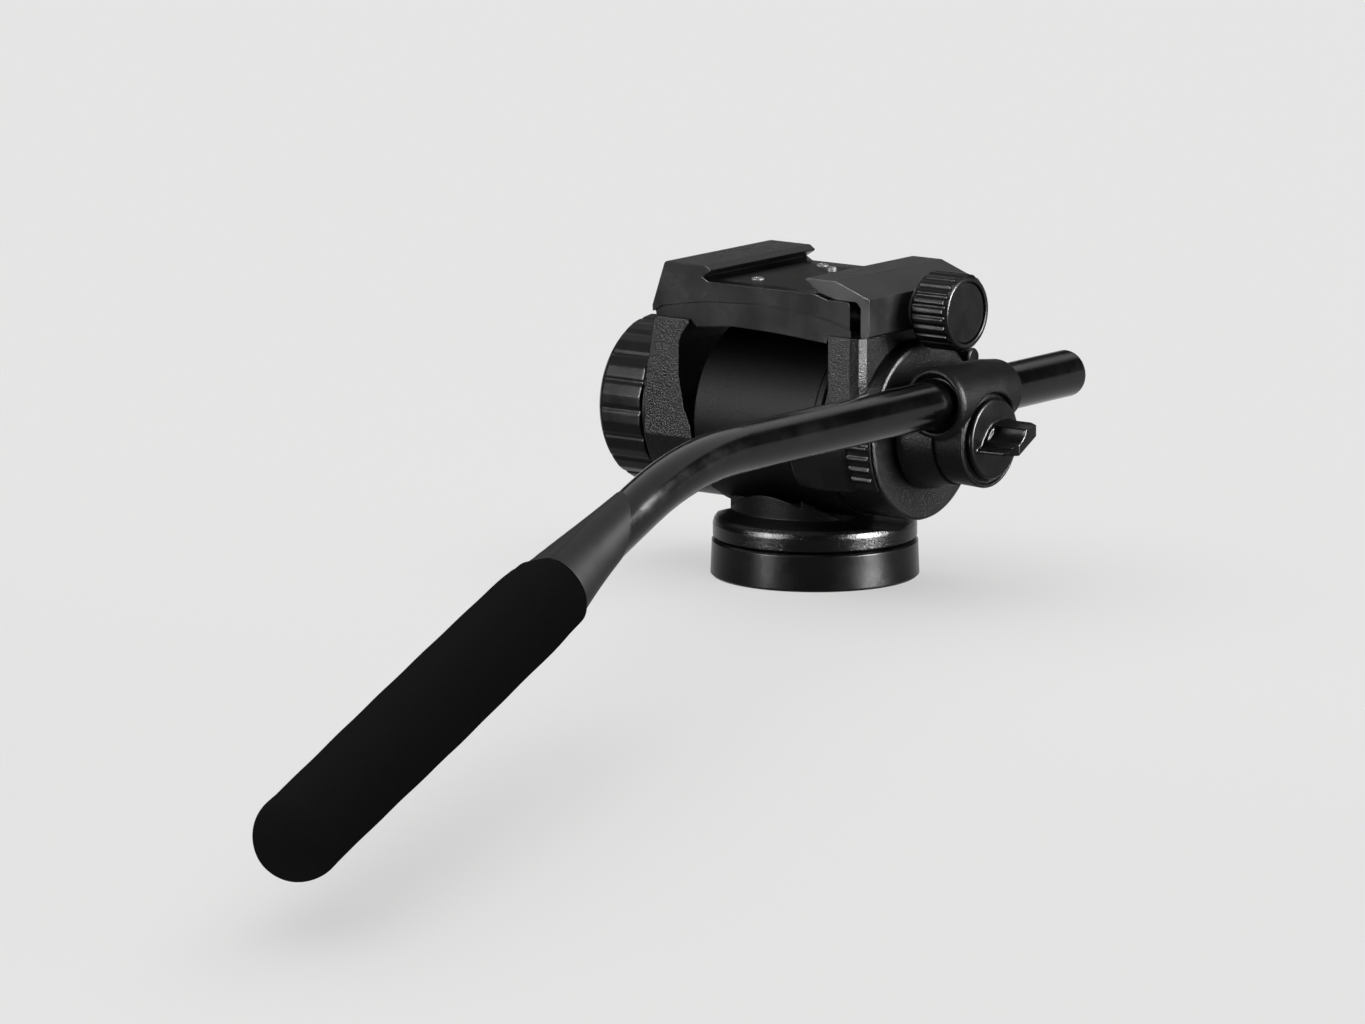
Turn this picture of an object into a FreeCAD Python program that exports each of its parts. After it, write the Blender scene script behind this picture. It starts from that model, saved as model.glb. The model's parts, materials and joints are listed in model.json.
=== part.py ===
# Small pan and tilt head with one handle, in millimetres.
# X runs along the tilt axle, Y points away from the operator and Z is up.
# The origin is the centre of the face that rests on the tripod.
import FreeCAD, Part
import math
import os
from types import SimpleNamespace

import Sketcher
from FreeCAD import Rotation, Vector

SIZES = [
    # base and pan bearing
    ("base_r", 30.3),
    ("base_taper", 0.4),
    ("base_h", 10.8),
    ("edge", 0.6),
    ("seam", 0.3),
    ("fit", 0.05),
    ("run", 0.06),
    ("thread_r", 4.8),
    ("insert_r", 6.5),
    ("insert_len", 9.2),
    ("collar_r", 8.0),
    ("flange_z", 7.6),
    ("flange_r", 19.8),
    ("flange_thick", 2.8),
    ("post_r", 5.0),
    ("drag_ring_r", 25.8),
    ("drag_ring_thick", 1.8),
    ("screw_circle_r", 13.6),
    ("screw_head_r", 2.6),
    ("screw_head_h", 2.6),
    ("screw_r", 1.5),
    # pan housing
    ("disc_r", 29.6),
    ("disc_top", 17.4),
    ("disc_round", 1.1),
    ("shoulder_z", 19.8),
    ("neck_r", 24.6),
    ("sweep_r", 31.5),
    ("saddle_left", 20.0),
    ("saddle_right", 10.0),
    ("saddle_half", 14.0),
    ("tilt_z", 46.0),
    ("drum_over", 1.6),
    ("drum_left", 24.0),
    ("drum_right", 21.0),
    ("drum_band", 2.5),
    ("cavity_r", 22.0),
    ("cap_thick", 3.2),
    ("cap_inset", 0.4),
    ("nut_r", 7.5),
    ("nut_h", 4.0),
    ("plate_thick", 1.8),
    ("plate_x", 13.0),
    # pan lock knob
    ("lock_z", 14.4),
    ("lock_r", 4.8),
    ("lock_len", 8.0),
    ("lock_gap", 2.0),
    ("lock_screw_r", 2.0),
    ("shoe_len", 2.8),
    # tilting frame
    ("shaft_r", 5.0),
    ("half_depth", 25.4),
    ("foot_r", 26.0),
    ("arm_top", 75.0),
    ("left_inner", 25.5),
    ("left_outer", 42.7),
    ("left_top", 39.3),
    ("left_waist", 30.2),
    ("right_inner", 22.9),
    ("right_outer", 34.0),
    ("right_corner", 3.6),
    ("side_over", 0.6),
    ("side_thick", 5.2),
    ("boss_r", 12.0),
    ("stud_r", 4.0),
    ("stud_end", 48.0),
    ("washer_r", 14.4),
    ("washer_thick", 0.8),
    # plate holder on top
    ("rail_top", 91.3),
    ("rail_inner", 19.6),
    ("rail_outer", 35.4),
    ("undercut_x", 21.8),
    ("undercut_z", 87.9),
    ("floor_z", 86.7),
    ("shelf_z", 85.4),
    ("body_right", 30.6),
    ("body_left", 39.6),
    ("crown", 6.9),
    ("panel_inset", 0.7),
    ("drum_clear", 1.0),
    ("wear_left", 19.0),
    ("wear_right", 14.0),
    ("wear_inset", 4.9),
    ("wear_thick", 0.8),
    ("floor_screw_x", 10.8),
    ("screw_inset_front", 11.9),
    ("screw_inset_back", 7.4),
    ("floor_screw_r", 1.9),
    ("pin_x", 3.0),
    ("pin_inset", 13.3),
    ("pin_r", 1.4),
    ("pin_up", 1.3),
    ("button_inset", 2.7),
    ("button_drop", 7.8),
    ("button_r", 2.75),
    ("button_out", 6.0),
    ("button_travel", 2.0),
    # sliding jaw and its knob
    ("lip_x", 14.9),
    ("jaw_top", 91.1),
    ("jaw_flat", 25.6),
    ("jaw_clear", 0.4),
    ("jaw_shoulder", 86.8),
    ("jaw_bottom", 75.6),
    ("jaw_wall", 3.0),
    ("jaw_over", 0.6),
    ("jaw_shift", 0.5),
    ("jaw_pin_inset", 7.4),
    ("jaw_pin_z", 80.4),
    ("jaw_pin_r", 1.5),
    ("jaw_travel", 2.5),
    ("jaw_screw_r", 2.5),
    ("jaw_screw_z", 81.4),
    ("jaw_knob_r", 11.2),
    ("jaw_knob_len", 13.0),
    ("jaw_knob_gap", 3.3),
    ("jaw_flute_r", 0.8),
    ("jaw_face_r", 8.8),
    # drag knob on the left
    ("knob_r", 24.4),
    ("knob_len", 16.1),
    ("knob_flange", 1.8),
    ("knob_gap", 0.8),
    ("knob_flute_r", 0.9),
    ("knob_recess_r", 15.0),
    ("knob_recess", 1.6),
    ("knob_stem_r", 4.0),
    # tilt lock lever
    ("lever_gap", 0.3),
    ("lever_left", 11.0),
    ("lever_crease", 22.0),
    ("lever_wing", 31.0),
    ("lever_right", 38.8),
    ("lever_wall", 2.0),
    ("lever_swell", 1.5),
    ("lever_up_angle", 4.0),
    ("lever_down_angle", 33.0),
    ("rib_r", 0.7),
    ("rib_first_angle", 4.0),
    ("rib_step_angle", 7.0),
    # handle clamp, wing knob and handle
    ("hub_r", 16.7),
    ("hub_end_r", 14.4),
    ("clamp_x", 51.6),
    ("clamp_len", 10.0),
    ("clamp_r", 14.3),
    ("bar_x", 53.0),
    ("bar_z", 57.3),
    ("barrel_r", 10.4),
    ("barrel_back_r", 9.5),
    ("barrel_front", 15.9),
    ("barrel_back", 16.9),
    ("barrel_round", 1.4),
    ("barrel_lip", 2.0),
    ("mouth_r", 8.4),
    ("bush_r", 7.3),
    ("seat_r", 13.2),
    ("seat_depth", 0.4),
    ("seat_groove", 0.6),
    ("wing_disc_r", 11.6),
    ("wing_disc", 1.9),
    ("wing_gap", 0.3),
    ("wing_len", 12.0),
    ("wing_half", 9.0),
    ("wing_screw_r", 2.5),
    ("tube_r", 6.8),
    ("tube_wall", 1.0),
    ("tube_back", 50.2),
    ("bend_y", 132.5),
    ("bend_angle", 24.15),
    ("bend_r", 103.5),
    ("sleeve_len", 30.0),
    ("sleeve_slant", 8.0),
    ("sleeve_turn", 30.0),
    ("sleeve_rim_r", 7.1),
    ("sleeve_end_r", 10.4),
    ("sleeve_flat", 8.8),
    ("sleeve_flat_tip", 7.55),
    ("sleeve_flat_turn", 16.0),
    ("grip_at", 64.5),
    ("grip_r", 12.2),
    ("grip_edge_r", 11.3),
    ("grip_len", 131.8),
    ("core_r", 8.5),
]

doc = FreeCAD.newDocument("pan_tilt_head")
sheet = doc.addObject("Spreadsheet::Sheet", "Sizes")
for row, (word, number) in enumerate(SIZES, 1):
    sheet.set("A%d" % row, word)
    sheet.set("B%d" % row, str(number))
    sheet.setAlias("B%d" % row, word)
doc.recompute()


class Size:
    """A length or angle together with the sheet expression that gives it."""

    def __init__(self, value, text):
        self.value = value
        self.text = text

    def __add__(self, other):
        return joined(self, "+", other)

    def __radd__(self, other):
        return joined(other, "+", self)

    def __sub__(self, other):
        return joined(self, "-", other)

    def __rsub__(self, other):
        return joined(other, "-", self)

    def __mul__(self, other):
        return joined(self, "*", other)

    def __rmul__(self, other):
        return joined(other, "*", self)

    def __truediv__(self, other):
        return joined(self, "/", other)

    def __neg__(self):
        return joined(0, "-", self)


def as_size(value):
    """Turns a plain number into a size and leaves a size as it is."""
    if isinstance(value, Size):
        return value
    return Size(float(value), "(%r)" % float(value))


def joined(left, sign, right):
    """Combines two sizes and writes the matching expression."""
    left = as_size(left)
    right = as_size(right)
    results = {
        "+": left.value + right.value,
        "-": left.value - right.value,
        "*": left.value * right.value,
        "/": left.value / (right.value or 1.0),
    }
    return Size(results[sign], "(%s %s %s)" % (left.text, sign, right.text))


def sine(angle):
    """Sine of an angle in degrees."""
    angle = as_size(angle)
    return Size(math.sin(math.radians(angle.value)), "sin(%s)" % angle.text)


def cosine(angle):
    """Cosine of an angle in degrees."""
    angle = as_size(angle)
    return Size(math.cos(math.radians(angle.value)), "cos(%s)" % angle.text)


s = SimpleNamespace(**{word: Size(number, "Sizes." + word) for word, number in SIZES})

TURNS = {
    "X": Rotation(Vector(0, 0, 1), Vector(1, 0, 0)),
    "Y": Rotation(Vector(0, 0, 1), Vector(0, 1, 0)),
    "Z": Rotation(),
}


def bind(obj, name, value):
    """Ties one property of an object to the sheet."""
    obj.setExpression(name, as_size(value).text)


def put(obj, x=0, y=0, z=0, turn=None):
    """Places an object, with its corner or base centre tied to the sheet."""
    if turn is not None:
        obj.Placement = FreeCAD.Placement(Vector(), turn)
    for letter, value in zip("xyz", (x, y, z)):
        bind(obj, "Placement.Base." + letter, value)
    return obj


def rod(axis, r, start, end, x=0, y=0, z=0):
    """A cylinder along an axis between two positions on that axis."""
    obj = doc.addObject("Part::Cylinder", "Rod")
    bind(obj, "Radius", r)
    bind(obj, "Height", end - start)
    place = {"X": x, "Y": y, "Z": z}
    place[axis] = start
    return put(obj, place["X"], place["Y"], place["Z"], TURNS[axis])


def block(x0, x1, y0, y1, z0, z1):
    """A box between two corners."""
    obj = doc.addObject("Part::Box", "Block")
    bind(obj, "Length", x1 - x0)
    bind(obj, "Width", y1 - y0)
    bind(obj, "Height", z1 - z0)
    return put(obj, x0, y0, z0)


def fuse(*shapes):
    """Joins shapes into one."""
    obj = doc.addObject("Part::MultiFuse", "Joined")
    obj.Shapes = list(shapes)
    obj.Refine = True
    return obj


def cut(base, *tools):
    """Takes the tools away from the base."""
    obj = doc.addObject("Part::Cut", "Cut")
    obj.Base = base
    obj.Tool = fuse(*tools) if len(tools) > 1 else tools[0]
    obj.Refine = True
    return obj


def both(first, second):
    """What two shapes share."""
    obj = doc.addObject("Part::MultiCommon", "Shared")
    obj.Shapes = [first, second]
    obj.Refine = True
    return obj


def outline(body, plane, points):
    """Draws a closed outline on one of the body's own planes."""
    sketch = body.newObject("Sketcher::SketchObject", "Outline")
    home = [f for f in body.Origin.OriginFeatures if f.Role == plane][0]
    sketch.AttachmentSupport = [(home, "")]
    sketch.MapMode = "FlatFace"
    points = [(as_size(a), as_size(b)) for a, b in points]
    count = len(points)
    for n, (a, b) in enumerate(points):
        c, d = points[(n + 1) % count]
        line = Part.LineSegment(Vector(a.value, b.value, 0), Vector(c.value, d.value, 0))
        sketch.addGeometry(line)
    for n in range(count):
        sketch.addConstraint(Sketcher.Constraint("Coincident", n, 2, (n + 1) % count, 1))
    for n, (a, b) in enumerate(points):
        for kind, value in (("DistanceX", a), ("DistanceY", b)):
            number = sketch.addConstraint(Sketcher.Constraint(kind, -1, 1, n, 1, value.value))
            sketch.setExpression("Constraints[%d]" % number, value.text)
    return sketch


def turned(axis, points, x=0, y=0, z=0, turn=None):
    """A turned piece: points are (radius, height) along the axis."""
    body = doc.addObject("PartDesign::Body", "Turned")
    sketch = outline(body, "XZ_Plane", points)
    spin = body.newObject("PartDesign::Revolution", "Spin")
    spin.Profile = sketch
    spin.ReferenceAxis = (sketch, ["V_Axis"])
    spin.Angle = 360
    return put(body, x, y, z, turn or TURNS[axis])


def slab(plane, points, depth):
    """An outline given equal depth on both sides of its plane."""
    body = doc.addObject("PartDesign::Body", "Slab")
    pad = body.newObject("PartDesign::Pad", "Pad")
    pad.Profile = outline(body, plane, points)
    bind(pad, "Length", depth)
    pad.Midplane = True
    body.Tip = pad
    return put(body)


def flutes(body, r, ring_r, count, first=0.0):
    """Cuts round grooves along a turned body, evenly spaced about its axis."""
    sketch = body.newObject("Sketcher::SketchObject", "Groove")
    home = [f for f in body.Origin.OriginFeatures if f.Role == "XY_Plane"][0]
    sketch.AttachmentSupport = [(home, "")]
    sketch.MapMode = "FlatFace"
    centre = Vector(ring_r.value * math.cos(first), ring_r.value * math.sin(first), 0)
    sketch.addGeometry(Part.Circle(centre, Vector(0, 0, 1), r.value))
    for kind, value in (("DistanceX", ring_r * math.cos(first)), ("DistanceY", ring_r * math.sin(first))):
        number = sketch.addConstraint(Sketcher.Constraint(kind, -1, 1, 0, 3, value.value))
        sketch.setExpression("Constraints[%d]" % number, value.text)
    number = sketch.addConstraint(Sketcher.Constraint("Radius", 0, r.value))
    sketch.setExpression("Constraints[%d]" % number, r.text)
    pocket = body.newObject("PartDesign::Pocket", "Flute")
    pocket.Profile = sketch
    pocket.Type = "ThroughAll"
    pocket.Midplane = True
    pattern = body.newObject("PartDesign::PolarPattern", "Flutes")
    pattern.Originals = [pocket]
    pattern.Axis = (sketch, ["N_Axis"])
    pattern.Angle = 360
    pattern.Occurrences = count
    body.Tip = pattern
    return body


def name(obj, label):
    """Gives a finished sub-part its name."""
    obj.Label = label
    parts.append(obj)
    return obj


parts = []

# Radii and depths that follow the frame
drum_r = s.half_depth + s.drum_over
side_r = s.half_depth + s.side_over
wing_r = side_r + s.lever_wall
lever_r = wing_r + s.lever_swell
jaw_inner = s.right_outer + s.jaw_clear
jaw_outer = jaw_inner + s.jaw_wall
jaw_half = s.half_depth + s.jaw_over
jaw_pin_y = s.half_depth - s.jaw_pin_inset
button_y = s.half_depth - s.button_inset
button_z = s.tilt_z + side_r - s.button_drop
pin_y = s.half_depth - s.pin_inset
wear_half = s.half_depth - s.wear_inset

# Base: plate, spindle with the tripod thread, drag ring and screws
flange_top = s.flange_z + s.flange_thick
drag_z = s.base_h - s.drag_ring_thick
cavity_floor = s.tilt_z - s.cavity_r
spot_z = cavity_floor - 0.5
nut_z = spot_z + s.seam
post_top = nut_z + s.nut_h + 0.8
screw_spots = [
    (s.screw_circle_r * math.cos(a), s.screw_circle_r * math.sin(a))
    for a in (math.radians(90), math.radians(210), math.radians(330))
]

plate = turned("Z", [
    (s.collar_r + s.fit, 0),
    (s.base_r - s.edge, 0),
    (s.base_r, s.edge),
    (s.base_r - s.base_taper, s.base_h - s.edge),
    (s.base_r - s.base_taper - s.edge, s.base_h),
    (s.drag_ring_r + s.fit, s.base_h),
    (s.drag_ring_r + s.fit, drag_z),
    (s.flange_r + s.fit, drag_z),
    (s.flange_r + s.fit, s.flange_z),
    (s.collar_r + s.fit, s.flange_z),
])
holes = []
for x, y in screw_spots:
    holes.append(rod("Z", s.screw_r + s.fit, as_size(-1), s.flange_z + 1, x, y))
    holes.append(rod("Z", s.screw_head_r + s.fit, as_size(-1), s.screw_head_h + 0.4, x, y))
name(cut(plate, *holes), "base_plate")

spindle = turned("Z", [
    (0, s.insert_len + s.fit),
    (s.insert_r + s.fit, s.insert_len + s.fit),
    (s.insert_r + s.fit, 0),
    (s.collar_r, 0),
    (s.collar_r, s.flange_z),
    (s.flange_r, s.flange_z),
    (s.flange_r, flange_top),
    (s.post_r, flange_top),
    (s.post_r, post_top - s.edge),
    (s.post_r - s.edge, post_top),
    (0, post_top),
])
taps = [rod("Z", s.screw_r + s.fit, s.flange_z - 1, flange_top + 1, x, y) for x, y in screw_spots]
name(cut(spindle, *taps), "pan_spindle")

name(turned("Z", [
    (s.thread_r, 0),
    (s.insert_r, 0),
    (s.insert_r, s.insert_len),
    (s.thread_r, s.insert_len),
]), "thread_insert")

name(turned("Z", [
    (s.flange_r + s.seam, drag_z),
    (s.drag_ring_r, drag_z),
    (s.drag_ring_r, s.base_h),
    (s.flange_r + s.seam, s.base_h),
]), "pan_drag_ring")

for n, (x, y) in enumerate(screw_spots, 1):
    name(turned("Z", [
        (0, 0.4 + s.screw_head_h / 2),
        (s.screw_head_r / 2, 0.4 + s.screw_head_h / 2),
        (s.screw_head_r / 2, 0.4),
        (s.screw_head_r, 0.4),
        (s.screw_head_r, 0.4 + s.screw_head_h),
        (s.screw_r, 0.4 + s.screw_head_h),
        (s.screw_r, flange_top - 0.4),
        (0, flange_top - 0.4),
    ], x, y), "base_screw_%d" % n)

nut = doc.addObject("Part::Prism", "Nut")
nut.Polygon = 6
bind(nut, "Circumradius", s.nut_r)
bind(nut, "Height", s.nut_h)
put(nut, 0, 0, nut_z)
name(cut(nut, rod("Z", s.post_r + s.fit, nut_z - 1, nut_z + s.nut_h + 1)), "spindle_nut")

# Pan housing: turntable, neck, saddle and drum in one casting
disc_z = s.base_h + s.seam
neck_top = s.shoulder_z + 8
turntable = turned("Z", [
    (0, disc_z),
    (s.disc_r - s.edge, disc_z),
    (s.disc_r, disc_z + s.edge),
    (s.disc_r, s.disc_top - s.disc_round * 2),
    (s.disc_r - s.disc_round * 0.35, s.disc_top - s.disc_round * 0.9),
    (s.disc_r - s.disc_round, s.disc_top),
    (s.neck_r, s.shoulder_z),
    (s.neck_r, neck_top),
    (0, neck_top),
])
turntable = cut(
    turntable,
    rod("X", s.sweep_r, -s.disc_r - 1, s.saddle_right + 1, z=s.tilt_z),
    rod("X", lever_r + s.drum_clear / 2, s.saddle_right + 0.5, s.disc_r + 1, z=s.tilt_z),
)
saddle = block(
    -s.saddle_left, s.saddle_right, -s.saddle_half, s.saddle_half, disc_z + 2, s.tilt_z,
)
drum = turned("X", [
    (0, -s.drum_left),
    (drum_r - s.edge, -s.drum_left),
    (drum_r, s.edge - s.drum_left),
    (drum_r, s.drum_right - s.drum_band),
    (drum_r - 0.25, s.drum_right - s.drum_band),
    (drum_r - 0.25, s.drum_right - s.edge),
    (drum_r - 0.25 - s.edge, s.drum_right),
    (0, s.drum_right),
], 0, 0, s.tilt_z)
name(cut(
    fuse(turntable, saddle, drum),
    rod("X", s.cavity_r, -s.drum_left - 1, s.drum_right + 1, z=s.tilt_z),
    rod("Z", s.post_r + s.run, disc_z - 1, s.tilt_z - 10),
    rod("Z", s.nut_r + 2, spot_z, s.tilt_z - 10),
    rod("Y", s.lock_screw_r + s.run, s.post_r, s.disc_r + 1, z=s.lock_z),
), "pan_housing")

for label, start, end in (
    ("drum_cap_left", s.cap_inset - s.drum_left, s.cap_inset - s.drum_left + s.cap_thick),
    ("drum_cap_right", s.drum_right - s.cap_inset - s.cap_thick, s.drum_right - s.cap_inset),
):
    name(turned("X", [
        (s.shaft_r + s.run, start),
        (s.cavity_r - s.fit, start),
        (s.cavity_r - s.fit, end),
        (s.shaft_r + s.run, end),
    ], 0, 0, s.tilt_z), label)

rotor_x = s.plate_thick + s.seam - s.plate_x
name(turned("X", [
    (s.shaft_r + 4, -s.plate_x),
    (s.cavity_r - s.fit, -s.plate_x),
    (s.cavity_r - s.fit, s.plate_thick - s.plate_x),
    (s.shaft_r + 4, s.plate_thick - s.plate_x),
], 0, 0, s.tilt_z), "drag_plate")
name(turned("X", [
    (s.shaft_r + s.fit, rotor_x),
    (s.cavity_r - 2, rotor_x),
    (s.cavity_r - 2, rotor_x + s.plate_thick),
    (s.shaft_r + s.fit, rotor_x + s.plate_thick),
], 0, 0, s.tilt_z), "drag_rotor")
name(turned("X", [
    (s.shaft_r + s.fit, rotor_x + s.plate_thick + s.fit),
    (s.shaft_r + 3, rotor_x + s.plate_thick + s.fit),
    (s.shaft_r + 3, rotor_x + s.plate_thick + 5),
    (s.shaft_r + s.fit, rotor_x + s.plate_thick + 5),
], 0, 0, s.tilt_z), "shaft_collar")

# Pan lock: small knob at the back pressing a shoe on the spindle
lock_y = s.disc_r + s.lock_gap
shoe_y = s.post_r + s.seam
name(rod("Y", s.lock_screw_r, shoe_y, shoe_y + s.shoe_len, z=s.lock_z), "pan_brake_shoe")
name(rod("Y", s.lock_screw_r, shoe_y + s.shoe_len + 0.5, lock_y + 2, z=s.lock_z), "pan_lock_screw")
lock = flutes(turned("Y", [
    (s.lock_screw_r + s.fit, 0),
    (s.lock_r * 0.7, 0),
    (s.lock_r, 1.5),
    (s.lock_r, s.lock_len - s.edge),
    (s.lock_r - s.edge, s.lock_len),
    (0, s.lock_len),
    (0, 2 + s.fit),
    (s.lock_screw_r + s.fit, 2 + s.fit),
], 0, lock_y, s.lock_z), s.edge, s.lock_r + 0.2, 12)
name(lock, "pan_lock_knob")

# Tilting frame: two arms, side disc and axle


def arm_shape(x0, x1):
    """Rounded foot about the axle with a straight top, as deep as the frame."""
    return fuse(
        both(
            rod("X", s.foot_r, x0, x1, z=s.tilt_z),
            block(x0, x1, -s.half_depth, s.half_depth, s.tilt_z - s.foot_r, s.tilt_z + 1),
        ),
        block(x0, x1, -s.half_depth, s.half_depth, s.tilt_z, s.arm_top),
    )


foot = s.tilt_z - s.foot_r - 1
left_side = slab("XZ_Plane", [
    (-s.left_inner, foot),
    (-s.left_inner, s.tilt_z - 6),
    (-s.left_inner - 0.7, s.tilt_z - 2),
    (-s.left_inner - 2.9, s.tilt_z + 3),
    (-s.left_waist, s.tilt_z + 12),
    (-s.left_waist, s.arm_top - 7),
    (1.2 - s.left_waist, s.arm_top - 4),
    (3.6 - s.left_waist, s.arm_top - 1),
    (3.6 - s.left_waist, s.arm_top),
    (0.8 - s.left_top, s.arm_top),
    (-s.left_top, s.arm_top - 1),
    (-s.left_top - 1.8, s.arm_top - 12.3),
    (-s.left_outer, s.arm_top - 20),
    (-s.left_outer, foot),
], s.half_depth * 2)
name(cut(
    both(left_side, arm_shape(-s.left_outer - 1, 2 - s.left_inner)),
    rod("X", s.shaft_r + s.fit, -s.left_outer - 1, -s.left_inner + 2, z=s.tilt_z),
), "left_arm")

arm_plan = [
    (s.right_inner, -s.half_depth),
    (s.right_outer - s.right_corner, -s.half_depth),
    (s.right_outer - s.right_corner * 0.3, s.right_corner * 0.3 - s.half_depth),
    (s.right_outer, s.right_corner - s.half_depth),
]
arm_plan += [(x, -y) for x, y in reversed(arm_plan)]
right_side = slab("XY_Plane", arm_plan, s.arm_top * 2)
name(cut(
    fuse(
        both(right_side, arm_shape(s.right_inner - 1, s.right_outer + 1)),
        rod("X", s.boss_r, s.drum_right + s.lever_gap, s.right_inner + 1, z=s.tilt_z),
    ),
    rod("X", s.shaft_r + s.fit, s.right_inner - 3, s.right_outer + 1, z=s.tilt_z),
    rod("X", s.button_r + s.run, s.right_outer - 3 - s.button_travel, s.right_outer + 1,
        y=button_y, z=button_z),
), "right_arm")

side_end = s.right_outer + s.side_thick
name(turned("X", [
    (s.stud_r + s.fit, s.right_outer),
    (side_r, s.right_outer),
    (side_r, side_end - 1),
    (side_r - 0.3, side_end - 0.3),
    (side_r - 1, side_end),
    (s.stud_r + s.fit, side_end),
], 0, 0, s.tilt_z), "side_disc")

name(turned("X", [
    (0, -s.left_outer - s.knob_gap - s.knob_len),
    (s.knob_stem_r, -s.left_outer - s.knob_gap - s.knob_len),
    (s.knob_stem_r, -s.left_outer),
    (s.shaft_r, -s.left_outer),
    (s.shaft_r, s.right_outer - 1),
    (0, s.right_outer - 1),
], 0, 0, s.tilt_z), "tilt_shaft")
name(rod("X", s.stud_r, s.right_outer, s.stud_end, z=s.tilt_z), "handle_stud")
name(turned("X", [
    (s.stud_r + s.fit, side_end),
    (s.washer_r, side_end),
    (s.washer_r, side_end + s.washer_thick),
    (s.stud_r + s.fit, side_end + s.washer_thick),
], 0, 0, s.tilt_z), "friction_washer")

# Plate holder: fixed rail on the left, floor, and a shelf for the jaw
across = s.body_left + s.body_right
arch = [(0, 0.2), (0.05, 0.48), (0.255, 0.83), (0.54, 1), (0.774, 0.84), (0.91, 0.62), (1, 0.32)]
upper = slab("XZ_Plane", [
    *[(across * part - s.body_left, s.arm_top + s.crown * height) for part, height in arch],
    (s.body_right, s.shelf_z - s.edge),
    (s.body_right - s.edge, s.shelf_z),
    (s.body_right - 8, s.shelf_z),
    (s.body_right - 12.6, s.floor_z),
    (-s.rail_inner, s.floor_z),
    (-s.undercut_x, s.undercut_z),
    (0.6 - s.rail_inner, s.rail_top - 1.7),
    (0.8 - s.rail_inner, s.rail_top - 1.2),
    (-s.rail_inner - 1, s.rail_top),
    (0.6 - s.rail_outer, s.rail_top),
    (-s.rail_outer, s.rail_top - 0.6),
    (-s.body_left - 0.1, s.arm_top + 3.1),
], s.half_depth * 2)
lower = slab("XZ_Plane", [
    (0.9 - s.body_left, s.arm_top),
    (0.2 - s.body_left, s.arm_top + 3),
    (17 - s.body_left, s.arm_top + 9),
    (s.body_right - 3, s.arm_top + 9),
    (s.body_right - 0.2, s.arm_top + 2),
    (s.body_right - 0.2, s.arm_top),
    (s.right_inner - 0.4, s.arm_top),
    (s.right_inner - 1, s.arm_top - 2.3),
    (5, s.arm_top - 1.1),
    (-11, s.arm_top - 0.6),
    (5.8 - s.left_waist, s.arm_top - 1.9),
    (3.8 - s.left_waist, s.arm_top),
], (s.half_depth - s.panel_inset) * 2)
screw_rows = [
    (-s.floor_screw_x, s.screw_inset_front - s.half_depth),
    (-s.floor_screw_x, s.half_depth - s.screw_inset_back),
    (s.floor_screw_x, s.screw_inset_front - s.half_depth),
    (s.floor_screw_x, s.half_depth - s.screw_inset_back),
]
recess_z = s.floor_z - s.wear_thick
tools = [
    rod("X", drum_r + s.drum_clear, -s.left_outer, s.right_outer, z=s.tilt_z),
    block(-s.wear_left, s.wear_right, -wear_half, wear_half, recess_z, s.floor_z + 0.1),
    rod("X", s.jaw_screw_r + s.run, s.body_right - 10, s.body_right + 1, z=s.jaw_screw_z),
    rod("Z", s.pin_r + s.run, s.floor_z - 6.5, s.floor_z, -s.pin_x, pin_y),
]
for y in (-jaw_pin_y, jaw_pin_y):
    tools.append(
        rod("X", s.jaw_pin_r + s.run, s.body_right - 11, s.body_right + 1, y=y, z=s.jaw_pin_z)
    )
for x, y in screw_rows:
    tools.append(rod("Z", s.screw_r / 2 + s.fit, s.floor_z - 5, s.floor_z, x, y))
name(cut(fuse(upper, lower), *tools), "plate_receiver")

wear = block(
    s.fit - s.wear_left, s.wear_right - s.fit, s.fit - wear_half, wear_half - s.fit,
    recess_z, s.floor_z,
)
wear_tools = [rod("Z", s.pin_r + s.run, recess_z - 1, s.floor_z + 1, -s.pin_x, pin_y)]
for x, y in screw_rows:
    wear_tools.append(rod("Z", s.screw_r / 2 + s.fit, recess_z - 1, s.floor_z + 1, x, y))
name(cut(wear, *wear_tools), "wear_plate")
for n, (x, y) in enumerate(screw_rows, 1):
    name(turned("Z", [
        (0, -4),
        (s.screw_r / 2, -4),
        (s.screw_r / 2, 0),
        (s.floor_screw_r, 0),
        (s.floor_screw_r, 0.35),
        (s.floor_screw_r - 0.4, 0.6),
        (0.6, 0.6),
        (0.6, 0.2),
        (0, 0.2),
    ], x, y, s.floor_z), "floor_screw_%d" % n)

name(turned("Z", [
    (0, -4),
    (s.pin_r, -4),
    (s.pin_r, s.pin_up - 0.4),
    (s.pin_r - 0.4, s.pin_up),
    (0, s.pin_up),
], -s.pin_x, pin_y, s.floor_z), "safety_pin")
name(turned("X", [
    (0, -2.8),
    (s.button_r, -2.8),
    (s.button_r, s.button_out - 0.5),
    (s.button_r - 0.5, s.button_out),
    (0, s.button_out),
], s.right_outer, button_y, button_z), "release_button")

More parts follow.
